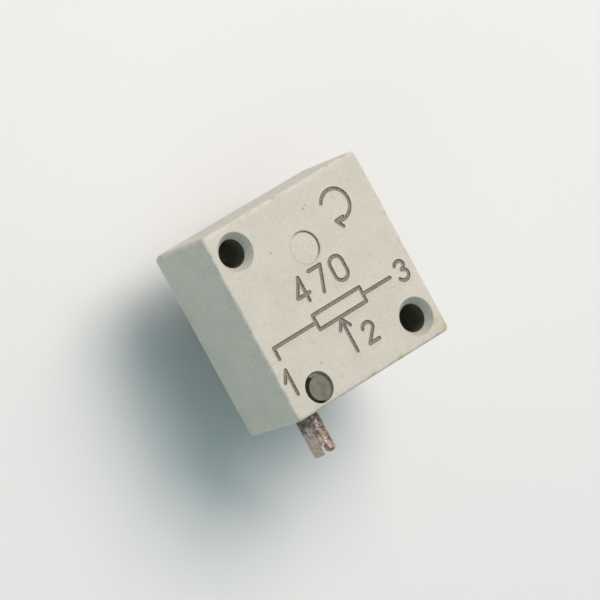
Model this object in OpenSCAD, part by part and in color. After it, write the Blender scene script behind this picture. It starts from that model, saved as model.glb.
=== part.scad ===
// Square wire-wound trimmer potentiometer with a worm-driven wiper, for through-hole boards.
// All lengths are in millimetres and all angles in degrees.
// The origin is the centre of the seating face. +Z is up and the adjusting screw leaves towards -Y.

/* [Housing] */
// Side of the square housing
body_size = 13; // [12.8:0.1:13.3]
// Height of the housing above its seating face
body_height = 6.4; // [6.2:0.1:6.8]
// Radius of the housing's outer edges
edge_radius = 0.2; // [0.1:0.05:0.3]
// Wall left round the potted recess in the underside
rim_wall = 0.6; // [0.5:0.05:0.65]

/* [Mounting holes] */
// Distance of each mounting hole's axis from the two nearest sides of the housing
hole_inset = 1.8; // [1.7:0.05:1.9]
// Diameter of the mounting holes
hole_d = 1.85; // [1.6:0.05:1.95]
// Diameter of the countersink at the top face
sink_d = 2.55; // [2.3:0.05:2.8]
// Depth of the countersink
sink_depth = 0.55; // [0.3:0.05:0.8]
// Wall of the pillar round each mounting hole
pillar_wall = 0.75; // [0.72:0.01:0.8]

/* [Ejector mark] */
// Diameter of the round mark that the mould's ejector leaves on the top
mark_d = 2.1; // [1.5:0.1:2.4]
// Depth of the ejector mark
mark_depth = 0.1; // [0.05:0.01:0.2]
// Distance of the ejector mark behind the centre
mark_back = 2.72; // [2:0.01:3.5]
// Distance of the ejector mark to the left of the centre
mark_left = 0.1; // [0:0.05:0.5]

/* [Adjusting screw] */
// Diameter of the screw's shaft, and of its thread's crests
screw_d = 1.55; // [1.5:0.01:1.6]
// Length of shaft that stands out of the housing
screw_reach = 2.9; // [2:0.1:4]
// Distance of the screw's axis from the housing's left side
screw_inset = 2.35; // [2.3:0.01:2.4]
// Height of the screw's axis above the seating face
screw_height = 3.4; // [3.38:0.01:3.5]
// Width of the driver slot
slot_width = 0.4; // [0.3:0.05:0.5]
// Depth of the driver slot
slot_depth = 0.6; // [0.3:0.05:0.8]
// Turn of the driver slot from upright at mid travel
slot_angle = 20; // [0:5:180]
// Chamfer at both ends of the shaft
shaft_chamfer = 0.08; // [0.04:0.01:0.12]
// Diameter of the neck that the lock pin holds
neck_d = 0.8; // [0.7:0.05:0.9]
// Diameter of the journal at the screw's inner end
journal_d = 0.8; // [0.7:0.02:0.82]
// Length of the inner journal
journal_length = 0.8; // [0.6:0.05:0.9]

/* [Lock pin] */
// Diameter of the pin that keeps the screw in
lock_d = 1.6; // [1.5:0.05:1.6]
// Distance of the lock pin's axis from the housing's front side
lock_inset = 1.13; // [1.13:0.01:1.2]
// Distance of the lock pin's flat from its axis
lock_flat = 0.15; // [0.1:0.01:0.2]
// Depth of the lock pin's top below the top face
lock_recess = 0.2; // [0.1:0.05:0.6]
// Depth by which the lock pin passes the screw
lock_pass = 0.2; // [0.1:0.05:0.3]
// Diameter of the moulded pocket over the lock pin
pocket_d = 2.06; // [2.04:0.01:2.06]
// Depth of the pocket
pocket_depth = 0.7; // [0.65:0.05:0.9]
// Offset of the pocket to the left of the drilled pin hole
pocket_left = 0.16; // [0.1:0.01:0.16]
// Offset of the pocket behind the drilled pin hole
pocket_behind = 0.11; // [0.11:0.01:0.13]

/* [Worm gear] */
// Teeth of the wheel, which is also the screw turns for one turn of the wiper
wheel_teeth = 48; // [46:1:50]
// Pressure angle of the thread's flanks
pressure_angle = 20; // [18:1:22]
// Play between thread and teeth, along the screw
backlash = 0.04; // [0.03:0.005:0.06]
// Clearance under tooth and thread tips, as a share of the module
tip_clearance = 0.25; // [0.2:0.05:0.3]
// Length of the screw that is threaded
worm_length = 4; // [3.6:0.1:4]
// Face width of the wheel
wheel_face = 1; // [0.8:0.05:1]
// Diameter of the wheel's hub
hub_d = 2.3; // [2.1:0.1:2.5]
// Height of the hub above the wheel
hub_rise = 0.5; // [0.45:0.01:0.6]

/* [End stops] */
// Turn of the wiper between its stops
wiper_travel = 300; // [280:5:310]
// Angle that the wheel's stop lug fills
lug_angle = 12; // [8:1:16]
// Play left at each stop
stop_play = 0.5; // [0.25:0.25:1]
// Inner radius of the stop lug and of the fixed stop
stop_inner = 2.2; // [2:0.05:2.4]
// Outer radius of the stop lug and of the fixed stop
stop_outer = 3.2; // [3:0.05:3.3]
// Height of the stop lug above the wheel
lug_height = 0.38; // [0.3:0.02:0.4]
// Gap between the fixed stop and the wheel
stop_gap = 0.15; // [0.1:0.01:0.2]

/* [Spindle] */
// Diameter of the spindle that the wheel turns on
spindle_d = 1.2; // [1:0.05:1.3]
// Diameter of the spindle's flange, moulded into the base
spindle_flange_d = 1.9; // [1.7:0.1:2.1]
// Thickness of that flange
spindle_flange = 0.3; // [0.2:0.05:0.4]
// Length of the spindle that the roof holds
spindle_seat = 0.6; // [0.4:0.05:0.8]

/* [Base and sealing compound] */
// Thickness of the sealing compound under the base
compound_thickness = 0.5; // [0.45:0.01:0.55]
// Thickness of the moulded base
base_thickness = 1; // [0.98:0.01:1.05]

/* [Terminal pins] */
// Diameter of the terminal pins
pin_d = 0.8; // [0.6:0.05:0.9]
// Length of the pins below the seating face
pin_length = 5; // [3:0.1:6]
// Length of the tapered pin tip
pin_tip = 0.3; // [0.1:0.05:0.5]
// Diameter of the flat end of the pin tip
pin_tip_d = 0.45; // [0.3:0.05:0.5]
// Diameter of the pin's shoulder, from the seating face up into the base
shoulder_d = 1.2; // [1.1:0.05:1.25]
// Length of the shoulder that the base holds
shoulder_seat = 0.4; // [0.3:0.05:0.45]
// Distance of the two outer pins from the centre, to the left and right
outer_pin_side = 2.5; // [2.4:0.05:3]
// Distance of the two outer pins in front of the centre
outer_pin_front = 1.25; // [1:0.05:1.5]
// Distance of the wiper's pin behind the centre
middle_pin_back = 3.75; // [3.6:0.05:3.8]

/* [Resistance element] */
// Radius of the ring that the element is bent to
element_radius = 4.2; // [4.15:0.01:4.25]
// Diameter of the enamelled copper core
core_d = 0.8; // [0.7:0.02:0.84]
// Thickness of the winding on the core
winding_thickness = 0.1; // [0.08:0.01:0.12]
// Height of the element's centre above the base
element_rise = 0.15; // [0.1:0.01:0.2]
// Angle of bare end that a clamp grips
clamp_angle = 7; // [5:0.5:9]
// Gap between winding and clamp, as an angle
clamp_gap = 0.5; // [0.25:0.25:1]
// Angle of winding past the wiper's end positions
winding_margin = 2; // [1:0.5:3]
// Diameter of the lead wires
lead_d = 0.3; // [0.2:0.02:0.32]

/* [Collector and wiper] */
// Inner edge of the collector ring, as a share of the way from the hub to the winding
collector_start = 0.45; // [0.43:0.01:0.48]
// Outer edge of the collector ring, as a share of the same way
collector_end = 0.84; // [0.78:0.01:0.86]
// Thickness of the collector ring
collector_thickness = 0.25; // [0.2:0.01:0.3]
// Thickness of the contact spring's strip
spring_thickness = 0.12; // [0.1:0.01:0.15]
// Edge of the spring's fixed ring, as a share of the way from the hub to the winding
spring_share = 0.35; // [0.34:0.01:0.36]
// Width of the spring's arms
arm_width = 0.8; // [0.6:0.05:0.9]
// Diameter of the contact beads
bead_d = 0.3; // [0.24:0.02:0.34]
// Length of the contact beads
bead_length = 0.6; // [0.4:0.05:0.7]
// Diameter of the two moulded studs that hold the spring
stud_d = 0.4; // [0.3:0.02:0.44]
// Diameter of the staked heads of the studs
stud_head_d = 0.62; // [0.56:0.01:0.66]
// Height of the staked heads
stud_head = 0.2; // [0.15:0.01:0.25]

/* [Clearances] */
// Radial clearance of parts that turn in each other
running_clearance = 0.03; // [0.02:0.005:0.04]
// Axial play of the wheel and of the screw
axial_play = 0.05; // [0.03:0.01:0.08]
// Clearance of fixed parts that are set into each other
fit_clearance = 0.01; // [0.005:0.005:0.02]
// Gap between a contact bead and the track under it
contact_gap = 0.02; // [0.01:0.005:0.03]
// Gap between the wheel and the wall of its chamber
chamber_gap = 0.24; // [0.2:0.01:0.26]
// Gap between the element and the wall round it
element_gap = 0.25; // [0.2:0.01:0.25]
// Gap above the wiper's arm, to the ceiling over the element
arm_gap = 0.25; // [0.2:0.01:0.28]

/* [Seal] */
// Thickness of the seal ring
seal_cord = 0.35; // [0.3:0.01:0.36]
// Width of the seal's groove
seal_groove = 0.46; // [0.42:0.01:0.5]
// Width of the land between the neck and the seal's groove
seal_land = 0.35; // [0.3:0.01:0.4]

/* [Hidden] */
$fn = 64;
// Length by which a cutter passes the face that it opens
cut = 1;
// Colours of the moulded, turned and wound pieces
housing_colour = [0.8, 0.78, 0.72];
base_colour = [0.28, 0.2, 0.14];
compound_colour = [0.36, 0.3, 0.22];
lock_colour = [0.45, 0.44, 0.4];
screw_colour = [0.62, 0.55, 0.5];
wheel_colour = [0.86, 0.8, 0.62];
brass_colour = [0.78, 0.62, 0.34];
bronze_colour = [0.8, 0.55, 0.35];
silver_colour = [0.82, 0.82, 0.8];
copper_colour = [0.7, 0.36, 0.22];
nichrome_colour = [0.5, 0.5, 0.48];
rubber_colour = [0.12, 0.12, 0.12];
tin_colour = [0.72, 0.72, 0.7];

// Places that are measured from the housing's sides
hole_offset = body_size / 2 - hole_inset;
screw_offset = body_size / 2 - screw_inset;
lock_front = body_size / 2 - lock_inset;

// Outline of the recess under the housing
recess_size = body_size - 2 * rim_wall;
pillar_radius = hole_d / 2 + pillar_wall;
hole_places = [[-hole_offset, hole_offset], [hole_offset, -hole_offset]];

// Module, pitch and radii of the worm gear, from its centre distance and the shaft
gear_module = (screw_offset - screw_d / 2) / (wheel_teeth / 2 - 1);
gear_pitch = PI * gear_module;
wheel_pitch_radius = gear_module * wheel_teeth / 2;
wheel_radius = wheel_pitch_radius + gear_module;
worm_pitch_radius = screw_d / 2 - gear_module;
dedendum = gear_module * (1 + tip_clearance);
worm_root_radius = worm_pitch_radius - dedendum;
lead_angle = atan(gear_pitch / (2 * PI * worm_pitch_radius));
// Angle from the wheel to the screw, seen from above
mesh_angle = 180;

// Heights of the stack, from the seating face upwards
base_top = compound_thickness + base_thickness;
element_z = base_top + element_rise;
winding_radius = core_d / 2 + winding_thickness;
winding_top = element_z + winding_radius;
arm_top = winding_top + contact_gap + bead_d + spring_thickness;
wheel_bottom = screw_height - wheel_face / 2;
wheel_top = screw_height + wheel_face / 2;
hub_bottom = base_top + axial_play;
hub_top = wheel_top + hub_rise;
ceiling = hub_top + axial_play;
element_ceiling = arm_top + arm_gap;
collector_top = base_top + collector_thickness;

// Radii of the two chambers
chamber_radius = wheel_radius + chamber_gap;
element_chamber_radius = element_radius + winding_radius + element_gap;

// Stations along the screw, from its outer end inwards
screw_bore_radius = screw_d / 2 + running_clearance;
screw_end = -body_size / 2 - screw_reach;
neck_front = -lock_front - lock_d / 2 - axial_play;
neck_back = -lock_front + lock_d / 2 + axial_play;
seal_front = neck_back + seal_land;
seal_back = seal_front + seal_groove;
worm_front = -worm_length / 2;
worm_back = worm_length / 2;
journal_end = worm_back + journal_length;
seal_radius = screw_bore_radius - fit_clearance - seal_cord / 2;
seal_groove_radius = seal_radius - seal_cord / 2 - fit_clearance;

// The lock pin's flat stands beside the screw's neck
lock_x = -screw_offset + neck_d / 2 + running_clearance - lock_flat;
lock_bottom = screw_height - screw_d / 2 - lock_pass;
lock_step = screw_height + screw_d / 2 + lock_pass;

// Angles of the element, from the wiper's rest direction
wiper_rest = 90;
winding_half = wiper_travel / 2 + winding_margin;
clamp_start = winding_half + clamp_gap;
core_half = clamp_start + clamp_angle;
lead_turn = clamp_start + clamp_angle / 2;
lead_z = compound_thickness / 2;

// Places of the terminal pins, by their number
pin_places = [[-outer_pin_side, -outer_pin_front], [0, middle_pin_back], [outer_pin_side, -outer_pin_front]];

// Contact radii and the spring's places, on the way from the hub to the winding
contact_way = element_radius - winding_radius - hub_d / 2;
collector_inner = hub_d / 2 + contact_way * collector_start;
collector_outer = hub_d / 2 + contact_way * collector_end;
spring_ring = hub_d / 2 + contact_way * spring_share;
track_radius = (collector_inner + collector_outer) / 2;
spring_top = wheel_bottom - fit_clearance;
spring_bottom = spring_top - spring_thickness;
stud_radius = (hub_d / 2 + spring_ring) / 2;

// Solid square block with every edge rounded, standing on z = 0
module rounded_block(side, height, radius) {
    intersection() {
        linear_extrude(height) rounded_rectangle(side, side, radius);
        translate([-side / 2, 0, height / 2]) rotate([90, 0, 90])
            linear_extrude(side) rounded_rectangle(side, height, radius);
        translate([0, side / 2, height / 2]) rotate([90, 0, 0])
            linear_extrude(side) rounded_rectangle(side, height, radius);
    }
}

// Rectangle with round corners, centred
module rounded_rectangle(width, height, radius) {
    square([width - 2 * radius, height], center = true);
    square([width, height - 2 * radius], center = true);
    for (x = [-1, 1])
        for (y = [-1, 1])
            translate([x * (width / 2 - radius), y * (height / 2 - radius)]) circle(radius, $fn = 32);
}

// Outline of the recess under the housing, drawn in by a gap all round.
// The housing stays solid from each pillar out to its corner.
module recess_outline(gap) {
    difference() {
        square(recess_size - 2 * gap, center = true);
        for (turn = [0, 180])
            rotate(turn) {
                translate([-hole_offset, hole_offset]) circle(pillar_radius + gap);
                translate([-body_size / 2, hole_offset]) square(hole_inset);
            }
    }
}

// Straight hole or shaft along Y at the screw's place, between two stations
module along_screw(radius, from_y, to_y) {
    translate([-screw_offset, to_y, screw_height]) rotate([90, 0, 0])
        cylinder(h = to_y - from_y, r = radius);
}

// Sector of a ring, centred on the direction given, standing on z = 0
module ring_sector(inner, outer, height, middle, angle) {
    rotate([0, 0, middle - angle / 2])
        rotate_extrude(angle = angle)
            translate([inner, 0]) square([outer - inner, height]);
}

// Housing, moulded in one piece
module housing() {
    color(housing_colour) difference() {
        rounded_block(body_size, body_height, edge_radius);
        housing_recess();
        housing_chambers();
        screw_hole();
        lock_hole();
        for (place = hole_places)
            translate(place) mounting_hole();
        translate([-mark_left, mark_back, body_height - mark_depth])
            cylinder(h = mark_depth + cut, d = mark_d);
    }
}

// Recess in the underside, for the base and the sealing compound
module housing_recess() {
    translate([0, 0, -cut]) linear_extrude(base_top + cut) recess_outline(0);
}

// Round chambers for the element and the wheel, with the fixed stop and the spindle's seat
module housing_chambers() {
    translate([0, 0, base_top - fit_clearance])
        cylinder(h = element_ceiling - base_top + fit_clearance, r = element_chamber_radius);
    difference() {
        translate([0, 0, base_top]) cylinder(h = ceiling - base_top, r = chamber_radius);
        translate([0, 0, wheel_top + stop_gap])
            ring_sector(stop_inner, stop_outer, body_height, wiper_rest + 180,
                360 - wiper_travel - lug_angle - 2 * stop_play);
    }
    translate([0, 0, base_top])
        cylinder(h = ceiling + spindle_seat + axial_play - base_top, d = spindle_d + 2 * fit_clearance);
}

// Hole for the screw, with the blind seat of its journal
module screw_hole() {
    along_screw(screw_bore_radius, -body_size / 2 - cut, worm_back + axial_play);
    along_screw(journal_d / 2 + running_clearance, 0, journal_end + axial_play);
}

// Drilled hole for the lock pin under its moulded pocket
module lock_hole() {
    translate([lock_x, -lock_front, lock_bottom - axial_play])
        cylinder(h = body_height, d = lock_d + 2 * fit_clearance);
    translate([lock_x - pocket_left, -lock_front + pocket_behind, body_height - pocket_depth])
        cylinder(h = pocket_depth + cut, d = pocket_d);
}

// Countersunk through hole
module mounting_hole() {
    translate([0, 0, -cut]) cylinder(h = body_height + 2 * cut, d = hole_d);
    translate([0, 0, body_height - sink_depth])
        cylinder(h = sink_depth, d1 = hole_d, d2 = sink_d);
    translate([0, 0, body_height]) cylinder(h = cut, d = sink_d);
}

// Moulded base that closes the chambers and carries the element
module base_plate() {
    color(base_colour) translate([0, 0, compound_thickness]) difference() {
        linear_extrude(base_thickness) recess_outline(fit_clearance);
        translate([0, 0, element_z - compound_thickness])
            element_arc(winding_radius + fit_clearance, 360);
        for (place = pin_places)
            translate([place[0], place[1], -cut])
                cylinder(h = shoulder_seat + cut, d = shoulder_d + 2 * fit_clearance);
        translate([0, 0, -cut])
            cylinder(h = spindle_flange + cut, d = spindle_flange_d + 2 * fit_clearance);
        cylinder(h = base_thickness + cut, d = spindle_d + 2 * fit_clearance);
        for (place = lead_places())
            translate([place[0], place[1], -cut])
                cylinder(h = base_thickness + 2 * cut, d = lead_d + 2 * fit_clearance);
    }
}

// Where each lead passes the base: first pin, collector, third pin
function lead_places() = [
    element_point(lead_turn),
    [0, collector_inner + lead_d],
    element_point(-lead_turn)
];

// Point of the element's circle at an angle from the wiper's rest direction
function element_point(turn) =
    element_radius * [cos(wiper_rest + turn), sin(wiper_rest + turn)];

// Round bar bent to the element's circle, centred on the wiper's rest direction
module element_arc(radius, angle) {
    rotate([0, 0, wiper_rest - angle / 2])
        rotate_extrude(angle = angle)
            translate([element_radius, 0]) circle(radius, $fn = 32);
}

// Compound cast over the base, round the pins and leads
module sealing_compound() {
    color(compound_colour) difference() {
        linear_extrude(compound_thickness) recess_outline(0);
        for (place = pin_places)
            translate([place[0], place[1], -cut])
                cylinder(h = compound_thickness + 2 * cut, d = shoulder_d);
        for (i = [0 : len(pin_places) - 1])
            lead(i, compound_thickness + cut, 0);
    }
}

// Lead wire from its top end down through the base and across, to end short of its pin's axis
module lead(index, top, short) {
    from = lead_places()[index];
    to = pin_places[index];
    run = norm(to - from) - short;
    heading = atan2(to[1] - from[1], to[0] - from[0]);
    translate([from[0], from[1], lead_z]) {
        cylinder(h = top - lead_z, d = lead_d, $fn = 24);
        sphere(d = lead_d, $fn = 24);
        rotate([0, 90, heading]) cylinder(h = run, d = lead_d, $fn = 24);
    }
}

// Pin that keeps the screw in: round above, half round beside the screw's neck
module lock_pin() {
    color(lock_colour) translate([lock_x, -lock_front, 0]) {
        translate([0, 0, lock_step]) cylinder(h = body_height - lock_recess - lock_step, d = lock_d);
        intersection() {
            translate([0, 0, lock_bottom]) cylinder(h = lock_step - lock_bottom, d = lock_d);
            translate([lock_flat, -lock_d, 0]) cube([lock_d, 2 * lock_d, body_height]);
        }
    }
}

// Steel spindle with a flange that is moulded into the base
module rotor_spindle() {
    color(tin_colour) translate([0, 0, compound_thickness]) {
        cylinder(h = spindle_flange, d = spindle_flange_d);
        cylinder(h = ceiling + spindle_seat - compound_thickness, d = spindle_d);
    }
}

// Adjusting screw, turned in one piece with its worm thread
module adjusting_screw() {
    color(screw_colour) {
        difference() {
            translate([-screw_offset, 0, screw_height]) rotate([-90, 0, 0])
                rotate_extrude() screw_profile();
            translate([-screw_offset, screw_end, screw_height]) rotate([0, -slot_angle, 0])
                cube([slot_width, 2 * slot_depth, 2 * screw_d], center = true);
        }
        translate([-screw_offset, 0, screw_height]) worm_thread();
    }
}

// Half section of the turned screw: radius across, station along the shaft upwards
module screw_profile() {
    r = screw_d / 2;
    polygon([
        [0, screw_end],
        [r - shaft_chamfer, screw_end],
        [r, screw_end + shaft_chamfer],
        [r, neck_front],
        [neck_d / 2, neck_front],
        [neck_d / 2, neck_back],
        [r, neck_back],
        [r, seal_front],
        [seal_groove_radius, seal_front],
        [seal_groove_radius, seal_back],
        [r, seal_back],
        [r, worm_front - gear_pitch],
        [worm_root_radius, worm_front - gear_pitch / 2],
        [worm_root_radius, worm_back],
        [journal_d / 2, worm_back],
        [journal_d / 2, journal_end - shaft_chamfer],
        [journal_d / 2 - shaft_chamfer, journal_end],
        [0, journal_end]
    ]);
}

// Right-hand trapezoid thread about Y. It starts and ends inside the core and rises to full height.
// A crest faces the wheel at y = 0.
module worm_thread() {
    steps = 24;
    sunk = 0.04;
    first = worm_front / gear_pitch * 360;
    last = (worm_back - gear_pitch / 2) / gear_pitch * 360;
    count = floor((last - first) / 360 * steps);
    half = gear_pitch / 4 - backlash / 2;
    base_radius = worm_root_radius - sunk;
    full = screw_d / 2 - base_radius;
    rise = [for (i = [0 : count]) min(1, 0.05 + 2 * min(i, count - i) / steps)];
    rings = [for (i = [0 : count])
        thread_section(first + i * 360 / steps, base_radius, base_radius + full * rise[i], half)];
    points = [for (ring = rings) each ring];
    sides = [for (i = [0 : count - 1]) for (j = [0 : 3]) each [
        [4 * i + j, 4 * i + (j + 1) % 4, 4 * i + 4 + j],
        [4 * i + (j + 1) % 4, 4 * i + 4 + (j + 1) % 4, 4 * i + 4 + j]
    ]];
    caps = [[3, 2, 1, 0], [for (j = [0 : 3]) 4 * count + j]];
    polyhedron(points, concat(sides, caps));
}

// Four corners of the thread's section at one turn, from the root's front edge round the crest
function thread_section(turn, inner, outer, half) =
    let (
        y = turn / 360 * gear_pitch,
        slope = tan(pressure_angle),
        wide = half + (worm_pitch_radius - inner) * slope,
        narrow = half + (worm_pitch_radius - outer) * slope
    )
    [for (corner = [[inner, -wide], [outer, -narrow], [outer, narrow], [inner, wide]])
        [corner[0] * cos(turn), y + corner[1], -corner[0] * sin(turn)]];

// Rubber ring in the screw's groove
module seal_ring() {
    color(rubber_colour)
        translate([-screw_offset, (seal_front + seal_back) / 2, screw_height]) rotate([90, 0, 0])
            rotate_extrude() translate([seal_radius, 0]) circle(d = seal_cord, $fn = 24);
}

// Moulded worm wheel with its hub, stop lug and staked studs
module worm_wheel() {
    color(wheel_colour) difference() {
        union() {
            translate([0, 0, wheel_bottom]) cylinder(h = wheel_face, r = wheel_radius);
            translate([0, 0, hub_bottom]) cylinder(h = hub_top - hub_bottom, d = hub_d);
            translate([0, 0, wheel_top])
                ring_sector(stop_inner, stop_outer, lug_height, wiper_rest, lug_angle);
            for (side = [-1, 1])
                translate([side * stud_radius, 0, 0]) spring_stud();
        }
        translate([0, 0, hub_bottom - cut])
            cylinder(h = hub_top - hub_bottom + 2 * cut, d = spindle_d + 2 * running_clearance);
        for (i = [0 : wheel_teeth - 1])
            rotate([0, 0, mesh_angle + i * 360 / wheel_teeth]) tooth_gap();
    }
}

// Stud through the spring, with its staked head
module spring_stud() {
    translate([0, 0, spring_bottom]) cylinder(h = wheel_bottom - spring_bottom, d = stud_d, $fn = 32);
    translate([0, 0, spring_bottom - fit_clearance - stud_head])
        cylinder(h = stud_head, d = stud_head_d, $fn = 32);
    translate([0, 0, spring_bottom - fit_clearance]) cylinder(h = fit_clearance, d = stud_d, $fn = 32);
}

// Cutter for one gap between teeth, leaning with the thread's lead
module tooth_gap() {
    slope = tan(pressure_angle + 90 / wheel_teeth);
    half = gear_pitch / 4 + backlash / 2;
    reach = 2 * gear_module;
    translate([wheel_pitch_radius, 0, screw_height]) rotate([-lead_angle, 0, 0])
        linear_extrude(2 * wheel_face, center = true) polygon([
            [-dedendum, -half + dedendum * slope],
            [reach, -half - reach * slope],
            [reach, half + reach * slope],
            [-dedendum, half - dedendum * slope]
        ]);
}

// Contact spring: a ring under the wheel with one arm for the element and one for the collector
module wiper_spring() {
    color(bronze_colour) difference() {
        union() {
            translate([0, 0, spring_bottom]) cylinder(h = spring_thickness, r = spring_ring);
            rotate([0, 0, wiper_rest])
                spring_arm(element_radius + bead_d / 2 + bead_length / 2, winding_top);
            rotate([0, 0, wiper_rest + 180])
                spring_arm(track_radius + bead_length / 2, collector_top);
        }
        translate([0, 0, base_top]) cylinder(h = ceiling, d = hub_d + 2 * fit_clearance);
        for (side = [-1, 1])
            translate([side * stud_radius, 0, base_top])
                cylinder(h = ceiling, d = stud_d + 2 * fit_clearance, $fn = 32);
    }
}

// Arm along X that slopes down from the spring's ring and ends flat over its bead
module spring_arm(reach, track) {
    foot = track + contact_gap + bead_d;
    flat = reach - bead_length - bead_d;
    start = spring_ring - arm_width / 2;
    translate([0, arm_width / 2, 0]) rotate([90, 0, 0]) linear_extrude(arm_width) polygon([
        [start, spring_bottom],
        [start, spring_top],
        [spring_ring, spring_top],
        [flat, foot + spring_thickness],
        [reach, foot + spring_thickness],
        [reach, foot],
        [flat, foot],
        [spring_ring, spring_bottom]
    ]);
}

// Bead welded under an arm, lying along the radius over its track
module contact_bead(radius, track) {
    translate([radius - bead_length / 2, 0, track + contact_gap + bead_d / 2]) rotate([0, 90, 0])
        cylinder(h = bead_length, d = bead_d, $fn = 32);
}

// Bead that runs on the winding
module wiper_contact() {
    color(silver_colour) rotate([0, 0, wiper_rest]) contact_bead(element_radius, winding_top);
}

// Bead that runs on the collector ring
module collector_contact() {
    color(silver_colour) rotate([0, 0, wiper_rest + 180]) contact_bead(track_radius, collector_top);
}

// Flat ring that takes the wiper's current
module collector_ring() {
    color(brass_colour) translate([0, 0, base_top]) difference() {
        cylinder(h = collector_thickness, r = collector_outer);
        translate([0, 0, -cut]) cylinder(h = collector_thickness + 2 * cut, r = collector_inner);
    }
}

// Lead from the collector ring to the middle pin
module collector_lead() {
    color(copper_colour) lead(1, base_top, shoulder_d / 2);
}

// Enamelled copper core of the element
module element_core() {
    color(copper_colour) translate([0, 0, element_z]) element_arc(core_d / 2, 2 * core_half);
}

// Sleeve bent round the core, from one turn to another off the wiper's rest direction
module element_sleeve(from_turn, to_turn) {
    translate([0, 0, element_z]) rotate([0, 0, wiper_rest + from_turn])
        rotate_extrude(angle = to_turn - from_turn) translate([element_radius, 0]) difference() {
            circle(winding_radius, $fn = 32);
            circle(core_d / 2 + fit_clearance, $fn = 32);
        }
}

// Close turns of resistance wire on the core
module resistance_winding() {
    color(nichrome_colour) element_sleeve(-winding_half, winding_half);
}

// Clamp on the element's end next to the first pin
module start_clamp() {
    color(brass_colour) element_sleeve(clamp_start, core_half);
}

// Clamp on the element's end next to the third pin
module end_clamp() {
    color(brass_colour) element_sleeve(-core_half, -clamp_start);
}

// Lead from the start clamp to the first pin
module start_lead() {
    color(copper_colour) lead(0, element_z - winding_radius, shoulder_d / 2);
}

// Lead from the end clamp to the third pin
module end_lead() {
    color(copper_colour) lead(2, element_z - winding_radius, shoulder_d / 2);
}

// Round terminal pin with a shoulder in the compound and the base, and a tapered tip
module terminal_pin(place) {
    color(tin_colour) translate([place[0], place[1], 0]) {
        cylinder(h = compound_thickness + shoulder_seat, d = shoulder_d);
        translate([0, 0, pin_tip - pin_length])
            cylinder(h = pin_length - pin_tip + shoulder_seat, d = pin_d);
        translate([0, 0, -pin_length]) cylinder(h = pin_tip, d1 = pin_tip_d, d2 = pin_d);
    }
}

// First pin, at the start of the element
module pin_1() {
    terminal_pin(pin_places[0]);
}

// Second pin, at the wiper
module pin_2() {
    terminal_pin(pin_places[1]);
}

// Third pin, at the end of the element
module pin_3() {
    terminal_pin(pin_places[2]);
}

housing();
base_plate();
sealing_compound();
lock_pin();
rotor_spindle();
adjusting_screw();
seal_ring();
worm_wheel();
wiper_spring();
wiper_contact();
collector_contact();
collector_ring();
collector_lead();
element_core();
resistance_winding();
start_clamp();
end_clamp();
start_lead();
end_lead();
pin_1();
pin_2();
pin_3();
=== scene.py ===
"""Visual model of a square worm-drive trimmer potentiometer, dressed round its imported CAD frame."""
import logging
import math
from dataclasses import dataclass, field
from enum import Enum
from typing import Callable, Optional, Sequence

import bmesh
import bpy
import numpy as np
from mathutils import Matrix, Vector, noise
from mathutils.geometry import delaunay_2d_cdt


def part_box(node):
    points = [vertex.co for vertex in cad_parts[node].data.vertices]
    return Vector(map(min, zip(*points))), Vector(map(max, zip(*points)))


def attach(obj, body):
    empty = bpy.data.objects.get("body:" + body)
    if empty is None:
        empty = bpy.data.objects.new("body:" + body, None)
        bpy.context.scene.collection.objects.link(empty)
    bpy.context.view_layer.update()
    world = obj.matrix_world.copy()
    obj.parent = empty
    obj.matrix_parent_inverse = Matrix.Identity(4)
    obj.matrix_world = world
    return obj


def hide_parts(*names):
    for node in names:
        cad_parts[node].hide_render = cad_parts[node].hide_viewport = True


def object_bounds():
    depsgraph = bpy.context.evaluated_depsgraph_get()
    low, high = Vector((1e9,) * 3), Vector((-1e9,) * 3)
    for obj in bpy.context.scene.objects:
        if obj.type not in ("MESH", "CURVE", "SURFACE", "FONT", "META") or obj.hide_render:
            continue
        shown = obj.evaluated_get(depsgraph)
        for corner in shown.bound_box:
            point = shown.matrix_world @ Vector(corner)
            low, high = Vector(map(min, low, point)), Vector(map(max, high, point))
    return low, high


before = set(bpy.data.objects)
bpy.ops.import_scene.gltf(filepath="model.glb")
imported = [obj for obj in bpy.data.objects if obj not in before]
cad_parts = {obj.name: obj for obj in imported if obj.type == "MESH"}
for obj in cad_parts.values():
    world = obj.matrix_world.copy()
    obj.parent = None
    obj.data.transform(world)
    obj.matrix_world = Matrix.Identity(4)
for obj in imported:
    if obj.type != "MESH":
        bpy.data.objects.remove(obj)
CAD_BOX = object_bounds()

LOG = logging.getLogger("trimmer")
MM = 0.001
# In millimetres: corners that are merged, faces that are dropped, and how close is on a surface
MERGED, SLIVER, NEAR = 2e-4, 1e-5, 0.01
Array = np.ndarray
Colour = tuple[float, float, float]
Point = tuple[float, float]
Place = tuple[float, float, float]
Socket = bpy.types.NodeSocket
Material = bpy.types.Material
Object = bpy.types.Object
Work = bmesh.types.BMesh


# Node work

class Grain(Enum):
    """How a surface's fine texture is drawn out, as a scale along X, Y and Z."""

    EVEN = (1.0, 1.0, 1.0)
    ALONG_Y = (1.0, 0.08, 1.0)
    ALONG_Z = (1.0, 1.0, 0.08)


@dataclass(frozen=True)
class Patches:
    """Soft random patches: size in millimetres, noise levels to fade between, results there."""

    size: float
    low: float
    high: float
    start: float = 0.0
    end: float = 1.0
    detail: float = 3.0
    seed: float = 0.0
    grain: Grain = Grain.EVEN


@dataclass(frozen=True)
class Relief:
    """Fine relief that only the light shows: size and depth in millimetres."""

    size: float
    depth: float
    detail: float
    seed: float
    grain: Grain = Grain.EVEN


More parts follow.
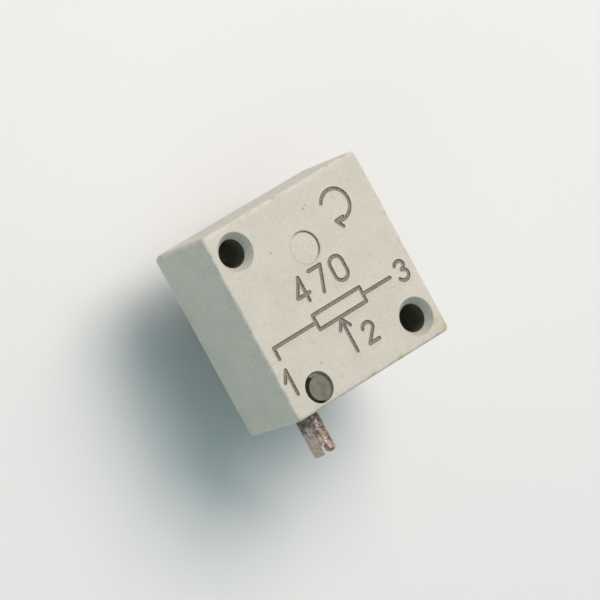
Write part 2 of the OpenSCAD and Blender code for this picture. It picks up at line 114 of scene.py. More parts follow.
@dataclass
class Nodes:
    """A node tree, and the plain ways to fill it."""

    tree: bpy.types.NodeTree

    def node(self, kind: str, inputs: Optional[dict[object, object]] = None,
             **settings: object) -> bpy.types.Node:
        """Adds a node.

        Args:
            kind: node type.
            inputs: a socket or a plain value for each input, by name or place.
            settings: properties of the node.

        Returns:
            The node.
        """
        made = self.tree.nodes.new(kind)
        for key, value in settings.items():
            setattr(made, key, value)
        for key, value in (inputs or {}).items():
            self.feed(made.inputs[key], value)
        return made

    def feed(self, socket: Socket, value: object) -> None:
        """Links a socket to another socket, or sets it to a plain value.

        Args:
            socket: the input to fill.
            value: an output socket, a number, a colour or a material.
        """
        if isinstance(value, Socket):
            self.tree.links.new(value, socket)
        elif isinstance(value, tuple) and len(value) == 3 and len(socket.default_value) == 4:
            socket.default_value = (*value, 1.0)
        else:
            socket.default_value = value

    def rule(self, kind: str, first: object, second: object = 0.0) -> Socket:
        """Joins two values, each a socket or a number, by a plain rule such as a sum."""
        return self.node("ShaderNodeMath", {0: first, 1: second}, operation=kind).outputs[0]

    def times(self, first: object, second: object) -> Socket:
        """Product of two values, each a socket or a number."""
        return self.rule("MULTIPLY", first, second)


class Shader(Nodes):
    """One procedural material and the few kinds of node that the finishes are made of."""

    def __init__(self, name: str) -> None:
        """Starts a material with its surface shader and its object coordinates.

        Args:
            name: name of the material.
        """
        self.material = bpy.data.materials.new(name)
        self.material.use_nodes = True
        super().__init__(self.material.node_tree)
        self.surface = self.tree.nodes["Principled BSDF"]
        self.place = self.node("ShaderNodeTexCoord").outputs["Object"]

    def cloud(self, look: Patches | Relief) -> Socket:
        """Soft random pattern.

        Args:
            look: its size, detail, grain and seed.

        Returns:
            A value from 0 to 1.
        """
        place = self.place
        if look.grain is not Grain.EVEN:
            drawn = self.node("ShaderNodeMapping", {"Vector": place, "Scale": look.grain.value})
            place = drawn.outputs["Vector"]
        inputs = {"Vector": place, "W": look.seed, "Scale": 1.0 / (look.size * MM),
                  "Detail": look.detail}
        return self.node("ShaderNodeTexNoise", inputs, noise_dimensions="4D").outputs["Fac"]

    def cells(self, size: float, seed: float) -> Socket:
        """Distance to the nearest of many scattered points, as a share of their mean distance."""
        inputs = {"Vector": self.place, "W": seed, "Scale": 1.0 / (size * MM)}
        return self.node("ShaderNodeTexVoronoi", inputs, voronoi_dimensions="4D").outputs[0]

    def fade(self, value: Socket, low: float, high: float, start: float = 0.0,
             end: float = 1.0) -> Socket:
        """Maps a value smoothly from one range to another and holds it there.

        Args:
            value: the value.
            low: value that gives start.
            high: value that gives end.
            start: result at low.
            end: result at high.

        Returns:
            The mapped value.
        """
        inputs = {"Value": value, "From Min": low, "From Max": high, "To Min": start, "To Max": end}
        made = self.node("ShaderNodeMapRange", inputs, interpolation_type="SMOOTHSTEP")
        return made.outputs["Result"]

    def patches(self, look: Patches) -> Socket:
        """Soft random patches, faded as their look says."""
        return self.fade(self.cloud(look), look.low, look.high, look.start, look.end)

    def blend(self, share: object, first: object, second: object) -> Socket:
        """Blends two colours, by the share of the second one that shows."""
        inputs = {"Factor": share, 6: first, 7: second}
        return self.node("ShaderNodeMix", inputs, data_type="RGBA").outputs[2]

    def mark(self, name: str) -> Socket:
        """Reads the value that is stored on the mesh under a name."""
        return self.node("ShaderNodeAttribute", attribute_name=name).outputs["Fac"]

    def skin(self, *layers: Relief) -> Socket:
        """Fine relief, one layer on another.

        Args:
            layers: the layers, lowest first.

        Returns:
            The normal.
        """
        inputs = {}
        for layer in layers:
            inputs |= {"Distance": layer.depth * MM, "Height": self.cloud(layer)}
            inputs["Normal"] = self.node("ShaderNodeBump", inputs).outputs["Normal"]
        return inputs["Normal"]

    def set(self, **inputs: object) -> None:
        """Fills inputs of the surface shader, named with an underscore for a blank."""
        for name, value in inputs.items():
            self.feed(self.surface.inputs[name.replace("_", " ")], value)


# Finishes

@dataclass(frozen=True)
class HousingPlastic:
    """Warm light-grey moulded thermoset with engraved marks, and painted shade in its bores, pocket,
    countersinks and round its ejector mark.
    """

    pale: Colour = (0.655, 0.617, 0.53)
    deep: Colour = (0.622, 0.585, 0.5)
    yellowed: Colour = (0.62, 0.56, 0.43)
    stain: Colour = (0.52, 0.42, 0.25)
    # Colour of the engraving and tool rings, also laid as painted shade deeper in the countersinks
    # and round the ejector mark
    stroke: Colour = (0.068, 0.034, 0.012)
    # Painted shade in the through holes and the lock pin's pocket
    bore: Colour = (0.092, 0.094, 0.052)
    speck: Colour = (0.07, 0.065, 0.06)
    # Lighter worn colour of the outer edges, also a painted edge highlight
    worn: Colour = (0.71, 0.665, 0.585)
    grime: Colour = (0.33, 0.29, 0.21)
    tone: Patches = Patches(2.2, 0.35, 0.65, detail=4)
    yellowing: Patches = Patches(3.5, 0.55, 0.8, 0, 0.35, 2, 4)
    dot_spacing: float = 0.62
    dot_rim: Point = (0.1, 0.15)
    dot_field: Patches = Patches(1.3, 0.49, 0.57, 0, 0.55, 1, 7)
    fleck: Patches = Patches(0.11, 0.3, 0.7, 0, 1, 4, 2)
    fleck_share: float = 0.12
    smear: Patches = Patches(0.4, 0.55, 0.72, 0, 0.17, 3, 13)
    wear_and_highlight_patches: Patches = Patches(0.7, 0.44, 0.62, 0, 0.8, 4, 11)
    dirty: Patches = Patches(0.5, 0.55, 0.68, 0, 0.6, 4, 12)
    stained: Patches = Patches(0.5, 0.35, 0.7, 0.15, 0.8, 4, 9)
    cut: Patches = Patches(0.1, 0.3, 0.7, 0.75, 1.1, 3, 3)
    gloss: Patches = Patches(0.3, 0.3, 0.7, 0.5, 0.68, 3, 8)
    grit: Relief = Relief(0.09, 0.004, 5, 5)
    swell: Relief = Relief(0.9, 0.012, 3, 6)

    def make(self) -> Material:
        """Builds the material.

        Returns:
            The material.
        """
        s = Shader("housing_plastic")
        base = s.blend(s.patches(self.tone), self.deep, self.pale)
        base = s.blend(s.patches(self.yellowing), base, self.yellowed)
        dots = s.fade(s.cells(self.dot_spacing, 1), *self.dot_rim, 1, 0)
        base = s.blend(s.times(dots, s.patches(self.dot_field)), base, self.speck)
        flecks = s.fade(s.patches(self.fleck), 0, 1, self.fleck_share, 0)
        base = s.blend(flecks, base, self.speck)
        base = s.blend(s.patches(self.smear), base, self.grime)
        for mark, look, colour in (
                ("edge", self.wear_and_highlight_patches, self.worn), ("edge", self.dirty, self.grime),
                ("stain", self.stained, self.stain), ("groove", self.cut, self.stroke)):
            base = s.blend(s.times(s.mark(mark), s.patches(look)), base, colour)
        # Painted shade in the bores and the lock pin's pocket
        base = s.blend(s.mark("bore"), base, self.bore)
        s.set(Base_Color=base, Roughness=s.patches(self.gloss),
              Normal=s.skin(self.grit, self.swell))
        return s.material


@dataclass(frozen=True)
class WornPlating:
    """Turned brass whose plating is worn to a mottled pinkish grey-brown, with painted shade near the
    housing and a lighter end that is partly a painted highlight.
    """

    pink: Colour = (0.56, 0.42, 0.39)
    brown: Colour = (0.15, 0.105, 0.085)
    tan: Colour = (0.60, 0.44, 0.36)
    soot: Colour = (0.03, 0.025, 0.022)
    mottle: Patches = Patches(0.55, 0.38, 0.62, 0, 1, 4, 1)
    # Lighter tan towards the outer end: plating wear, and partly a painted highlight
    tip: Point = (-7.4, -8.3)
    tip_pull: float = 0.2
    tip_wear_and_highlight: Patches = Patches(0.7, 0.56, 0.72, seed=5)
    # Painted shade: the screw grows darker brown towards the housing
    root: Point = (-8.0, -6.6)
    root_pull: float = 0.24
    root_shade: Patches = Patches(0.35, 0.55, 0.72, 0, 0.85, 3, 9)
    streak: Patches = Patches(0.22, 0.5, 0.68, 0, 0.7, 4, 2, Grain.ALONG_Y)
    pit: Patches = Patches(0.14, 0.56, 0.68, 0, 0.6, 3, 3)
    gloss: Patches = Patches(0.12, 0.35, 0.65, 0.2, 0.6, 3, 7)
    grit: Relief = Relief(0.05, 0.006, 4, 4)
    lines: Relief = Relief(0.3, 0.012, 3, 6, Grain.ALONG_Y)

    def make(self) -> Material:
        """Builds the material.

        Returns:
            The material.
        """
        s = Shader("worn_plating")
        base = s.blend(s.patches(self.mottle), self.brown, self.pink)
        # Tan outer end, partly a painted highlight
        base = s.blend(self._along(s, self.tip, self.tip_pull, self.tip_wear_and_highlight), base, self.tan)
        # Painted shade near the housing
        base = s.blend(self._along(s, self.root, self.root_pull, self.root_shade), base, self.brown)
        base = s.blend(s.patches(self.streak), base, self.soot)
        base = s.blend(s.patches(self.pit), base, self.soot)
        s.set(Base_Color=base, Metallic=0.6, Normal=s.skin(self.grit, self.lines),
              Roughness=s.patches(self.gloss))
        return s.material

    @staticmethod
    def _along(s: Shader, ends: Point, pull: float, look: Patches) -> Socket:
        """Patches that grow denser along the screw.

        Args:
            s: the shader.
            ends: places on Y, in millimetres, from the thin end to the dense one.
            pull: how much the noise is lifted at the dense end.
            look: the patches.

        Returns:
            The value.
        """
        station = s.node("ShaderNodeSeparateXYZ", {"Vector": s.place}).outputs["Y"]
        lift = s.times(s.fade(station, ends[0] * MM, ends[1] * MM), pull)
        raised = s.rule("ADD", lift, s.cloud(look))
        return s.fade(raised, look.low, look.high, look.start, look.end)


@dataclass(frozen=True)
class Metal:
    """Clean metal with the fine marks of the way it was made."""

    name: str
    light: Colour
    dark: Colour
    roughness: float = 0.3
    grain: Grain = Grain.EVEN
    tone: Patches = Patches(0.7, 0.35, 0.65, 0, 1, 4, 1)

    def make(self) -> Material:
        """Builds the material.

        Returns:
            The material.
        """
        s = Shader(self.name)
        fine = Relief(0.06, 0.003, 3, 2, self.grain)
        gloss = s.fade(s.cloud(fine), 0.3, 0.7, self.roughness - 0.08, self.roughness + 0.12)
        s.set(Base_Color=s.blend(s.patches(self.tone), self.dark, self.light), Metallic=1.0,
              Normal=s.skin(fine), Roughness=gloss)
        return s.material


@dataclass(frozen=True)
class Moulding:
    """Plain moulded, cast or rubber piece with a soft mottle and a fine skin."""

    name: str
    light: Colour
    dark: Colour
    roughness: float = 0.5
    patch: float = 1.6
    skin: float = 0.003

    def make(self) -> Material:
        """Builds the material.

        Returns:
            The material.
        """
        s = Shader(self.name)
        tone = s.patches(Patches(self.patch, 0.35, 0.65, 0, 1, 4, 1))
        gloss = Patches(0.4, 0.3, 0.7, self.roughness - 0.08, self.roughness + 0.1, 3, 4)
        s.set(Base_Color=s.blend(tone, self.dark, self.light), Roughness=s.patches(gloss),
              Normal=s.skin(Relief(0.08, self.skin, 4, 2), Relief(0.8, 3 * self.skin, 2, 3)))
        return s.material


# Mesh work, in millimetres

def mesh_in_mm(node: str) -> Work:
    """Copies a CAD node's mesh, merged and in millimetres.

    Args:
        node: name of the CAD node.

    Returns:
        The copy.
    """
    work = bmesh.new()
    work.from_mesh(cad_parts[node].data)
    bmesh.ops.transform(work, matrix=Matrix.Scale(1 / MM, 4), verts=work.verts)
    bmesh.ops.remove_doubles(work, verts=work.verts, dist=MERGED)
    bmesh.ops.dissolve_degenerate(work, edges=work.edges, dist=SLIVER)
    return work


def add_object(name: str, data: bpy.types.ID) -> Object:
    """Makes an object and puts it into the scene.

    Args:
        name: its name.
        data: its mesh, lamp or camera.

    Returns:
        The object.
    """
    made = bpy.data.objects.new(name, data)
    bpy.context.scene.collection.objects.link(made)
    return made


def settle(holder: Object) -> bpy.types.Mesh:
    """Turns an object with modifiers into a plain mesh, and removes the object.

    Args:
        holder: the object.

    Returns:
        The mesh.
    """
    depsgraph = bpy.context.evaluated_depsgraph_get()
    done = bpy.data.meshes.new_from_object(holder.evaluated_get(depsgraph))
    source = holder.data
    bpy.data.objects.remove(holder)
    bpy.data.meshes.remove(source)
    return done


def finish_piece(work: Work, name: str, material: Material, sharp: float = 40.0) -> Object:
    """Turns a mesh in millimetres into a finished object at the origin.

    Args:
        work: the mesh, which is freed.
        name: name of the piece.
        material: its material.
        sharp: angle in degrees above which an edge stays sharp.

    Returns:
        The object.
    """
    bmesh.ops.transform(work, matrix=Matrix.Scale(MM, 4), verts=work.verts)
    mesh = bpy.data.meshes.new(name)
    work.to_mesh(mesh)
    work.free()
    for left_over in ("custom_normal", "sharp_face", "sharp_edge"):
        if left_over in mesh.attributes:
            mesh.attributes.remove(mesh.attributes[left_over])
    mesh.shade_smooth()
    mesh.set_sharp_from_angle(angle=math.radians(sharp))
    mesh.materials.append(material)
    return add_object(name, mesh)


def mount_piece(piece: Object, body: str, node: str) -> None:
    """Lets a finished piece stand for a CAD node.

    Args:
        piece: the object.
        body: CAD body that it rides on.
        node: CAD node that it replaces.
    """
    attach(piece, body)
    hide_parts(node)
    LOG.info("%s: %d triangles, rides on %s", piece.name,
             sum(len(p.vertices) - 2 for p in piece.data.polygons), body)


def smooth(values: Array, low: float, high: float) -> Array:
    """Smooth step of an array, from 0 at low to 1 at high."""
    t = np.clip((values - low) / (high - low), 0, 1)
    return t * t * (3 - 2 * t)


def bell(values: Array, width: float) -> Array:
    """Bell curve of an array, 1 at 0 and falling off over a width."""
    return np.exp(-(values / width) ** 2)


def bow(cx: float, cy: float, rx: float, ry: float, start: float, end: float,
        steps: int = 10) -> list[Point]:
    """Part of an ellipse.

    Args:
        cx: centre, across.
        cy: centre, up.
        rx: half width.
        ry: half height.
        start: first angle in degrees.
        end: last angle in degrees.
        steps: number of steps.

    Returns:
        The points.
    """
    angles = [math.radians(start + (end - start) * i / steps) for i in range(steps + 1)]
    return [(cx + rx * math.cos(a), cy + ry * math.sin(a)) for a in angles]


def ring(centre: Point, radius: float, steps: int) -> list[Point]:
    """Points round a full circle, each once."""
    return bow(*centre, radius, radius, 0, 360, steps)[:-1]


def batches(points: Array, size: int = 2000) -> list[Array]:
    """Splits many points into batches, to spare memory."""
    return np.array_split(points, len(points) // size + 1)


def bridge(work: Work, rings: Sequence[Sequence[Place]], clear: Optional[float] = None) -> None:
    """Joins rings of corners by faces.

    Args:
        work: the mesh.
        rings: the corners' places, ring after ring.
        clear: place on Y where a face that lies flat is left out.
    """
    rows = [[work.verts.new(place) for place in places] for places in rings]
    for first, second in zip(rows, rows[1:]):
        for i in range(len(first)):
            j = (i + 1) % len(first)
            corners = [first[i], first[j], second[j], second[i]]
            if clear is None or any(abs(v.co.y - clear) >= SLIVER for v in corners):
                work.faces.new(corners)


@dataclass
class FlatFill:
    """Closes a mesh's openings that lie in one plane, and can shape the new surface."""

    work: Work
    axis: int
    level: float
    outward: int
    tolerance: float = 2e-3
    thinnest: float = 1e-12

    def run(self, inner: Sequence[Point] = (),
            sunk: Optional[Callable[[Array], Array]] = None) -> None:
        """Fills every region of the plane that the open edges enclose.

        Args:
            inner: further points of the new surface, in the plane's two coordinates.
            sunk: depth of the new surface under the plane at given points.
        """
        u, v = (self.axis + 1) % 3, (self.axis + 2) % 3
        edges = [e for e in self.work.edges if e.is_boundary
                 and all(abs(w.co[self.axis] - self.level) < self.tolerance for w in e.verts)]
        rim = list({w for e in edges for w in e.verts})
        index = {w: i for i, w in enumerate(rim)}
        flat = [Vector((w.co[u], w.co[v])) for w in rim]
        lines = [(index[e.verts[0]], index[e.verts[1]]) for e in edges]
        ends = np.array([[flat[a], flat[b]] for a, b in lines])
        extra = np.array(inner, float).reshape(-1, 2)
        if len(extra):
            extra = extra[self._enclosed(extra, ends)]
        points, _, faces, sources, _, _ = delaunay_2d_cdt(
            flat + [Vector(p) for p in extra], lines, [], 0, SLIVER)
        places = np.array([tuple(p) for p in points])
        depth = sunk(places) if sunk else np.zeros(len(places))
        verts = []
        for i, p in enumerate(points):
            known = [s for s in sources[i] if s < len(rim)]
            if known:
                verts.append(rim[known[0]])
                continue
            place = [0.0, 0.0, 0.0]
            place[self.axis] = self.level - self.outward * depth[i]
            place[u], place[v] = p
            verts.append(self.work.verts.new(place))
        triples = np.array([f for f in faces])
        kept = self._enclosed(places[triples].mean(axis=1), ends)
        for triple in triples[kept]:
            a, b, c = (places[k] for k in triple)
            turn = (b[0] - a[0]) * (c[1] - a[1]) - (b[1] - a[1]) * (c[0] - a[0])
            if abs(turn) < self.thinnest:
                continue
            order = triple if turn * self.outward > 0 else triple[::-1]
            self.work.faces.new([verts[k] for k in order])

    @staticmethod
    def _enclosed(points: Array, ends: Array) -> Array:
        """Tells which points the lines enclose an odd number of times.

        Args:
            points: the points.
            ends: both ends of each line.

        Returns:
            True or False for each point.
        """
        a, b = ends[:, 0], ends[:, 1]
        rise = np.where(b[:, 1] == a[:, 1], 1.0, b[:, 1] - a[:, 1])
        inside = []
        for part in batches(points):
            x, y = part[:, :1], part[:, 1:]
            spans = (a[:, 1] > y) != (b[:, 1] > y)
            left = x < (b[:, 0] - a[:, 0]) * (y - a[:, 1]) / rise + a[:, 0]
            inside.append((spans & left).sum(axis=1) % 2 == 1)
        return np.concatenate(inside)


# Engraving

class Digit(Enum):
    """Plain digits as cutter strokes, in a box one unit wide and one unit high."""

    ZERO = [[*bow(0.5, 0.72, 0.5, 0.28, 0, 180), *bow(0.5, 0.28, 0.5, 0.28, 180, 360), (1.0, 0.72)]]
    TWO = [[*bow(0.5, 0.74, 0.5, 0.26, 170, -25), (0.0, 0.0), (1.0, 0.0)]]
    THREE = [[*bow(0.5, 0.77, 0.45, 0.23, 160, -80), *bow(0.5, 0.27, 0.5, 0.27, 85, -160)]]
    FOUR = [[(0.72, 0.0), (0.72, 1.0), (0.0, 0.28), (1.0, 0.28)]]
    SEVEN = [[(0.0, 1.0), (1.0, 1.0), (0.35, 0.0)]]


@dataclass
class Engraving:
    """Marks cut into the top face: a plain number, pin numbers, a circuit symbol and an arrow."""

    digit_size: Point = (1.0, 1.62)
    number: tuple[tuple[Digit, float, float], ...] = (
        (Digit.FOUR, -2.35, -0.3), (Digit.SEVEN, -0.75, -0.3), (Digit.ZERO, 0.85, -0.3))
    pin_one: tuple[Point, ...] = ((-6.05, -3.93), (-5.6, -3.25), (-5.62, -4.93))
    pin_digits: tuple[tuple[Digit, float, float], ...] = (
        (Digit.THREE, 4.95, -2.35), (Digit.TWO, 0.75, -4.62))
    pin_scale: float = 0.8
    resistor: tuple[tuple[Point, ...], ...] = (
        ((-2.0, -2.2), (2.0, -2.2), (2.0, -1.2), (-2.0, -1.2), (-2.0, -2.2)),
        ((-2.0, -1.7), (-5.6, -1.7), (-5.6, -2.45)), ((2.0, -1.7), (4.35, -1.7)))
    slider: tuple[tuple[Point, ...], ...] = (
        ((-0.3, -4.6), (-0.3, -2.3)), ((-0.72, -2.94), (-0.3, -2.32), (0.12, -2.94)))
    turn: tuple[float, ...] = (3.35, 4.05, 1.05, 1.05, 150, -120, 30)
    barbs: tuple[Point, Point] = ((0.6, 0.02), (0.32, -0.52))
    cutter: float = 0.125
    floor: float = 0.05
    depth: float = 0.07
    unevenness: float = 0.25
    rough_scale: float = 9
    lip: float = 0.01
    lip_width: float = 0.022
    wall_at: float = 0.088
    wall_width: float = 0.042
    floor_tone: float = 0.76
    step: float = 0.055
    cell: float = 0.017
    offsets: tuple[float, ...] = (0.0, 0.035, 0.06, 0.08, 0.1, 0.12, 0.145, 0.18)
    strokes: list[Array] = field(default_factory=list)

    def __post_init__(self) -> None:
        """Sets out every stroke."""
        self._digits(self.number, 1.0)
        self.strokes.append(np.array(self.pin_one))
        self._digits(self.pin_digits, self.pin_scale)
        self.strokes += [np.array(line) for line in self.resistor + self.slider]
        arc = np.array(bow(*self.turn))
        self.strokes += [arc, arc[-1] + np.array([self.barbs[0], (0, 0), self.barbs[1]])]

    def _digits(self, digits: tuple[tuple[Digit, float, float], ...], scale: float) -> None:
        """Adds digits.

        Args:
            digits: each with its left edge and its foot.
            scale: their size against the full size.
        """
        for digit, x, y in digits:
            self.strokes += [np.array(line) * (np.array(self.digit_size) * scale) + (x, y)
                             for line in digit.value]

    def segments(self) -> Array:
        """Every straight piece of every stroke, as an array of pairs of points."""
        return np.concatenate([np.stack([s[:-1], s[1:]], axis=1) for s in self.strokes])

    def distance(self, points: Array) -> Array:
        """Distance of points from the nearest stroke.

        Args:
            points: the points.

        Returns:
            The distances.
        """
        pieces = self.segments()
        a, d = pieces[:, 0], pieces[:, 1] - pieces[:, 0]
        length = (d ** 2).sum(axis=1)
        nearest = []
        for part in batches(points[:, None]):
            t = np.clip(((part - a) * d).sum(axis=2) / length, 0, 1)
            away = part - a - t[..., None] * d
            nearest.append(np.sqrt((away ** 2).sum(axis=2)).min(axis=1))
        return np.concatenate(nearest)

    def mesh_points(self) -> list[Point]:
        """Points along and beside the strokes, close enough to carry their shape.

        Returns:
            The points.
        """
        found = []
        for a, b in self.segments():
            run = float(np.hypot(*(b - a)))
            along = (b - a) / run
            side = np.array([-along[1], along[0]])
            count = max(1, round(run / self.step))
            for i in range(count + 1):
                middle = a + along * run * i / count
                found += [middle + side * s * o for o in self.offsets for s in (-1, 1)]
            for end, way in ((a, -along), (b, along)):
                for turn in (-60, -30, 0, 30, 60):
                    c, s = math.cos(math.radians(turn)), math.sin(math.radians(turn))
                    found += [end + o * (way * c + side * s) for o in self.offsets[1:]]
        kept = {}
        for p in found:
            kept.setdefault((round(p[0] / self.cell), round(p[1] / self.cell)), tuple(p))
        return list(kept.values())

    def sunk(self, points: Array) -> Array:
        """Depth of the cut surface, with a lip thrown up on both sides.

        Args:
            points: the points.

        Returns:
            Depths, negative on the lip.
        """
        d = self.distance(points)
        rough = np.array([noise.noise((*p, 0.5)) for p in points * self.rough_scale])
        cut = self.depth * (1 - smooth(d, self.floor, self.cutter)) * (1 + self.unevenness * rough)
        lip = self.lip * bell(d - self.cutter - self.lip_width, self.lip_width)
        return cut - lip * (0.7 + 0.6 * rough)

    def tone(self, points: Array) -> Array:
        """Darkness of the strokes, from 0 to 1: walls dark, floor lighter.

        Args:
            points: the points.

        Returns:
            The values.
        """
        d = self.distance(points)
        floor = self.floor_tone * (1 - smooth(d, 0.03, 0.09))
        return np.maximum(bell(d - self.wall_at, self.wall_width), floor)


# Pieces

@dataclass
class MarkedHousing:
    """Housing with rounded, worn edges, turned countersinks, engraved top, and painted shade in its
    bores, countersinks, pocket and ejector mark.
    """

    edge: float = 0.2
    corner: float = 0.34
    least_corner: float = 0.06
    edge_steps: int = 6
    corner_steps: int = 6
    side_steps: int = 26
    levels: int = 14
    hole_offset: float = 4.7
    hole_radius: float = 0.925
    mouth_radius: float = 1.275
    lip_width: float = 0.02
    lip_inner: float = 0.004
    lip_drop: float = 0.012
    sink_depth: float = 0.55
    ring_steps: int = 96
    cone_steps: int = 44
    tool_rings: int = 5
    ripple: float = 0.0045
    ring_tone: float = 0.16
    # Painted shade that deepens down the countersink cones
    cone_shade_tone: float = 0.12
    # Painted shade in the through holes' bores
    bore_shade_tone: float = 0.92
    top_sink: float = 0.012
    top_wave: float = 0.006
    grid_step: float = 0.4
    grid_shift: float = 0.12
    mark: Point = (-0.1, 2.72)
    mark_radius: float = 1.05
    mark_depth: float = 0.1
    mark_rings: tuple[float, ...] = (0.96, 0.92, 0.86, 0.6, 0.3)
    rim_rings: tuple[float, ...] = (0.03, 0.06, 0.1)
    # Painted shade at the ejector mark: how dark its outer rim and its wall are, and the direction
    # the rim's shade lies towards
    rim_shade_tone: float = 0.3
    wall_shade_tone: float = 0.72
    shade: Point = (-0.86, -0.5)
    pocket: Point = (-4.03, -5.26)
    pocket_radius: float = 1.03
    pocket_floor: float = 5.7
    pin_hole: Point = (-3.87, -5.37)
    pin_hole_radius: float = 0.81
    raised: float = 0.4
    sunken: float = 0.5
    # Arc of the pocket's crescent, which is both sunk and laid as painted shadow
    inner_arc: Point = (186, 72)
    outer_arc: Point = (198, 46)
    arc_blur: float = 12
    # Painted shadow in the lock pin's pocket: how far the dark crescent spreads, the least shade on
    # its ledge, and more on the pin's hole
    shadow_crescent_spread: float = 22
    ledge_shade_tone: float = 0.38
    pin_hole_shade_tone: float = 0.34
    wear: float = 0.028
    wear_band: float = 0.21
    wear_reach: float = 0.24
    stains: tuple[tuple[Place, float], ...] = (
        ((6.45, -6.0, 6.35), 1.5), ((-4.6, -6.45, 6.4), 0.9), ((-6.5, 1.9, 0.1), 0.9),
        ((-0.1, -6.5, 6.3), 0.6), ((2.4, -6.5, 6.3), 0.5), ((-6.5, -0.4, 0.0), 0.5),
        ((-6.5, -2.7, 0.0), 0.5), ((-6.5, -5.2, 0.0), 0.8))
    engraving: Engraving = field(default_factory=Engraving)

    def __post_init__(self) -> None:
        """Takes the housing's mesh and size from the CAD node."""
        self.work = mesh_in_mm("housing")
        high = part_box("housing")[1]
        self.half, self.top = high.x / MM, high.z / MM
        self.holes = [(way * self.hole_offset, -way * self.hole_offset) for way in (-1, 1)]

    def build(self, material: Material) -> Object:
        """Builds the housing.

        Args:
            material: its material.

        Returns:
            The finished object.
        """
        self._strip()
        self._skin()
        for hole in self.holes:
            self._hole(hole)
        FlatFill(self.work, 1, -self.half, -1).run()
        FlatFill(self.work, 2, 0.0, -1).run()
        FlatFill(self.work, 2, self.top, 1).run(self._top_points(), self._top_sunk)
        rings = [p for share in self.mark_rings
                 for p in ring(self.mark, share * self.mark_radius, 48)]
        FlatFill(self.work, 2, self.top - self.mark_depth, 1).run(rings)
        self._raise_pocket()
        self._wear()
        LOG.info("housing: %d open edges", sum(not e.is_manifold for e in self.work.edges))
        self.places = np.array([tuple(v.co) for v in self.work.verts])
        made = finish_piece(self.work, "housing_shell", material, 32)
        for name, rule in (("groove", self._groove), ("bore", self._painted_recess_shade), ("stain", self._stain),
                           ("edge", self._edge_wear_and_highlight)):
            store = made.data.attributes.new(name, "FLOAT", "POINT")
            store.data.foreach_set("value", rule().astype(np.float32))
        mount_piece(made, "housing", "housing")
        return made

    def _strip(self) -> None:
        """Takes away the outer faces, the through holes' walls and the ejector mark's floor."""
        def outside(v: bmesh.types.BMVert) -> bool:
            """Tells whether a corner lies on the housing's outer skin."""
            reach = [max(0.0, self.edge - depth) for depth in self._depths(v.co)]
            return max(reach) > self.edge - 0.003 or math.hypot(*reach) > self.edge - 0.02

        def in_hole(f: bmesh.types.BMFace) -> bool:
            """Tells whether a face is part of a through hole's wall."""
            return any(all(math.dist(v.co.xy, hole) < self.mouth_radius + self.lip_inner
                           for v in f.verts) for hole in self.holes)

        def in_mark(f: bmesh.types.BMFace) -> bool:
            """Tells whether a face is part of the ejector mark's floor."""
            return all(abs(v.co.z - self.top + self.mark_depth) < 0.002
                       and math.dist(v.co.xy, self.mark) < self.mark_radius + NEAR for v in f.verts)

        gone = [f for f in self.work.faces
                if in_hole(f) or in_mark(f) or all(outside(v) for v in f.verts)]
        bmesh.ops.delete(self.work, geom=gone, context="FACES")

    def _depths(self, place: Vector) -> list[float]:
        """Depths of a place under the sides, the ends and the nearer of top and seating face."""
        middle = self.top / 2
        return [self.half - abs(place.x), self.half - abs(place.y), middle - abs(place.z - middle)]

    def _outline(self, inset: float) -> list[Point]:
        """Rounded square outline, drawn in by an inset.

        Args:
            inset: how far it is drawn in.

        Returns:
            Its points, anticlockwise.
        """
        radius = max(self.corner - inset, self.least_corner)
        reach = self.half - inset - radius
        centres = ((reach, reach), (-reach, reach), (-reach, -reach), (reach, -reach))
        arcs = [bow(*centre, radius, radius, 90 * i, 90 * i + 90, self.corner_steps)
                for i, centre in enumerate(centres)]
        found = []
        for arc, after in zip(arcs, arcs[1:] + arcs[:1]):
            (x, y), (to_x, to_y) = arc[-1], after[0]
            found += arc
            found += [(x + (to_x - x) * i / self.side_steps, y + (to_y - y) * i / self.side_steps)
                      for i in range(1, self.side_steps)]
        return found

    def _skin(self) -> None:
        """Adds the four sides, open above, below and at the screw's face."""
        turns = [math.radians(90 * i / self.edge_steps) for i in range(self.edge_steps + 1)]
        low = [(self.edge * (1 - math.sin(t)), self.edge * (1 - math.cos(t))) for t in turns]
        middle = np.linspace(self.edge, self.top - self.edge, self.levels)[1:-1]
        levels = low + [(0.0, z) for z in middle]
        levels += [(inset, self.top - z) for inset, z in reversed(low)]
        rings = [[(x, y, z) for x, y in self._outline(inset)] for inset, z in levels]
        bridge(self.work, rings, -self.half)

    def _hole(self, centre: Point) -> None:
        """Adds a through hole's wall with its countersink, whose tool rings show.

        Args:
            centre: the hole's place.
        """
        profile = [(self.mouth_radius + self.lip_width, self.top),
                   (self.mouth_radius + self.lip_inner, self.top - self.lip_drop)]
        for i in range(1, self.cone_steps + 1):
            share = i / self.cone_steps
            ripple = self.ripple * math.sin(share * self.tool_rings * math.tau)
            ripple *= min(1, 6 * share, 6 * (1 - share))
            radius = self.mouth_radius + (self.hole_radius - self.mouth_radius) * share + ripple
            sunk = (self.sink_depth - self.lip_drop) * share
            profile.append((radius, self.top - self.lip_drop - sunk))
        floor = self.top - self.sink_depth
        profile += [(self.hole_radius, z) for z in
                    (floor - 0.03, floor - 0.07, *np.linspace(floor, 0, self.levels)[1:])]
        bridge(self.work, [[(x, y, z) for x, y in ring(centre, r, self.ring_steps)]
                           for r, z in profile])

